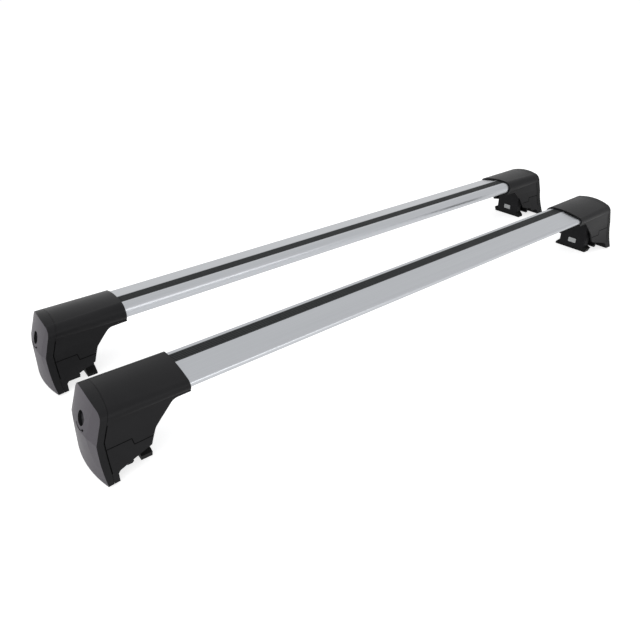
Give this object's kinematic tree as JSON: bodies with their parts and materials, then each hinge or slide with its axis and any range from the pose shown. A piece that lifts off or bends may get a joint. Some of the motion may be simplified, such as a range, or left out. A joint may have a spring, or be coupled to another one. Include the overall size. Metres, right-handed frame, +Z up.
{
  "type": "pair of roof cross bars",
  "caption": "Pair of satin aluminium wing-profile roof cross bars with ribbed slot strips and black clamp feet with lockable end covers.",
  "frame": {"origin": "middle of the pair's box at the level that the feet stand on", "axes": "+X along the bars, +Y across from the shorter rear bar to the longer front bar, +Z up"},
  "size_m": [1.218, 0.3372, 0.1039],
  "materials": {
    "anodised_aluminium": "satin silver anodised extrusion",
    "slot_rubber": "matt black ribbed rubber",
    "cover_plastic": "fine-grained black moulded plastic",
    "end_cover_plastic": "fine-grained black moulded plastic",
    "block_plastic": "black moulded plastic",
    "pad_rubber": "black rubber",
    "carrier_casting": "black coated casting",
    "jaw_steel": "black coated steel",
    "lock_metal": "dark coated metal",
    "zinc_steel": "zinc-plated steel"
  },
  "bodies": {
    "bars": {"rear_bar": "anodised_aluminium", "rear_strip": "slot_rubber", "rear_left_foot_cover": "cover_plastic", "rear_left_skirt": "cover_plastic", "rear_left_carrier": "carrier_casting", "rear_left_carrier_screws": "zinc_steel", "rear_left_foot_block": "block_plastic", "rear_left_rail_pad": "pad_rubber", "rear_left_clamp_nut": "zinc_steel", "rear_right_foot_cover": "cover_plastic", "rear_right_skirt": "cover_plastic", "rear_right_carrier": "carrier_casting", "rear_right_carrier_screws": "zinc_steel", "rear_right_foot_block": "block_plastic", "rear_right_rail_pad": "pad_rubber", "rear_right_clamp_nut": "zinc_steel", "front_bar": "anodised_aluminium", "front_strip": "slot_rubber", "front_left_foot_cover": "cover_plastic", "front_left_skirt": "cover_plastic", "front_left_carrier": "carrier_casting", "front_left_carrier_screws": "zinc_steel", "front_left_foot_block": "block_plastic", "front_left_rail_pad": "pad_rubber", "front_left_clamp_nut": "zinc_steel", "front_right_foot_cover": "cover_plastic", "front_right_skirt": "cover_plastic", "front_right_carrier": "carrier_casting", "front_right_carrier_screws": "zinc_steel", "front_right_foot_block": "block_plastic", "front_right_rail_pad": "pad_rubber", "front_right_clamp_nut": "zinc_steel"},
    "rear_left_end_cover": {"rear_left_end_cover": "end_cover_plastic"},
    "rear_left_lock": {"rear_left_lock_barrel": "lock_metal"},
    "rear_left_jaw": {"rear_left_clamp_jaw": "jaw_steel", "rear_left_jaw_pad": "pad_rubber"},
    "rear_left_bolt": {"rear_left_tension_bolt": "zinc_steel"},
    "rear_right_end_cover": {"rear_right_end_cover": "end_cover_plastic"},
    "rear_right_lock": {"rear_right_lock_barrel": "lock_metal"},
    "rear_right_jaw": {"rear_right_clamp_jaw": "jaw_steel", "rear_right_jaw_pad": "pad_rubber"},
    "rear_right_bolt": {"rear_right_tension_bolt": "zinc_steel"},
    "front_left_end_cover": {"front_left_end_cover": "end_cover_plastic"},
    "front_left_lock": {"front_left_lock_barrel": "lock_metal"},
    "front_left_jaw": {"front_left_clamp_jaw": "jaw_steel", "front_left_jaw_pad": "pad_rubber"},
    "front_left_bolt": {"front_left_tension_bolt": "zinc_steel"},
    "front_right_end_cover": {"front_right_end_cover": "end_cover_plastic"},
    "front_right_lock": {"front_right_lock_barrel": "lock_metal"},
    "front_right_jaw": {"front_right_clamp_jaw": "jaw_steel", "front_right_jaw_pad": "pad_rubber"},
    "front_right_bolt": {"front_right_tension_bolt": "zinc_steel"}
  },
  "joints": [
    {"name": "rear_left_end_cover_pull", "type": "slide", "parent": "bars", "child": "rear_left_end_cover", "axis": [-1, 0, 0], "range_m": [0, 0.02]},
    {"name": "rear_left_lock_turn", "type": "hinge", "parent": "rear_left_end_cover", "child": "rear_left_lock", "pos_m": [-0.60009, -0.1125, 0.073], "axis": [0.9367, 0, -0.3502], "range_deg": [0, 90]},
    {"name": "rear_left_jaw_slide", "type": "slide", "parent": "bars", "child": "rear_left_jaw", "axis": [1, 0, 0], "range_m": [-0.004, 0.008]},
    {"name": "rear_left_bolt_turn", "type": "hinge", "parent": "rear_left_jaw", "child": "rear_left_bolt", "pos_m": [-0.5695, -0.1125, 0.036], "axis": [1, 0, 0], "range_deg": [-1442, 2882]},
    {"name": "rear_right_end_cover_pull", "type": "slide", "parent": "bars", "child": "rear_right_end_cover", "axis": [1, 0, 0], "range_m": [0, 0.02]},
    {"name": "rear_right_lock_turn", "type": "hinge", "parent": "rear_right_end_cover", "child": "rear_right_lock", "pos_m": [0.52809, -0.1125, 0.073], "axis": [0.9367, 0, 0.3502], "range_deg": [0, 90]},
    {"name": "rear_right_jaw_slide", "type": "slide", "parent": "bars", "child": "rear_right_jaw", "axis": [-1, 0, 0], "range_m": [-0.004, 0.008]},
    {"name": "rear_right_bolt_turn", "type": "hinge", "parent": "rear_right_jaw", "child": "rear_right_bolt", "pos_m": [0.4975, -0.1125, 0.036], "axis": [-1, 0, 0], "range_deg": [-1442, 2882]},
    {"name": "front_left_end_cover_pull", "type": "slide", "parent": "bars", "child": "front_left_end_cover", "axis": [-1, 0, 0], "range_m": [0, 0.02]},
    {"name": "front_left_lock_turn", "type": "hinge", "parent": "front_left_end_cover", "child": "front_left_lock", "pos_m": [-0.59409, 0.1125, 0.073], "axis": [-0.9367, 0, 0.3502], "range_deg": [0, 90]},
    {"name": "front_left_jaw_slide", "type": "slide", "parent": "bars", "child": "front_left_jaw", "axis": [1, 0, 0], "range_m": [-0.004, 0.008]},
    {"name": "front_left_bolt_turn", "type": "hinge", "parent": "front_left_jaw", "child": "front_left_bolt", "pos_m": [-0.5635, 0.1125, 0.036], "axis": [1, 0, 0], "range_deg": [-1442, 2882]},
    {"name": "front_right_end_cover_pull", "type": "slide", "parent": "bars", "child": "front_right_end_cover", "axis": [1, 0, 0], "range_m": [0, 0.02]},
    {"name": "front_right_lock_turn", "type": "hinge", "parent": "front_right_end_cover", "child": "front_right_lock", "pos_m": [0.60009, 0.1125, 0.073], "axis": [-0.9367, 0, -0.3502], "range_deg": [0, 90]},
    {"name": "front_right_jaw_slide", "type": "slide", "parent": "bars", "child": "front_right_jaw", "axis": [-1, 0, 0], "range_m": [-0.004, 0.008]},
    {"name": "front_right_bolt_turn", "type": "hinge", "parent": "front_right_jaw", "child": "front_right_bolt", "pos_m": [0.5695, 0.1125, 0.036], "axis": [-1, 0, 0], "range_deg": [-1442, 2882]}
  ],
  "couplings": [
    {"joint": "rear_left_bolt_turn", "follows": "rear_left_jaw_slide", "rad_per_m": 6283.2},
    {"joint": "rear_right_bolt_turn", "follows": "rear_right_jaw_slide", "rad_per_m": 6283.2},
    {"joint": "front_left_bolt_turn", "follows": "front_left_jaw_slide", "rad_per_m": 6283.2},
    {"joint": "front_right_bolt_turn", "follows": "front_right_jaw_slide", "rad_per_m": 6283.2}
  ]
}
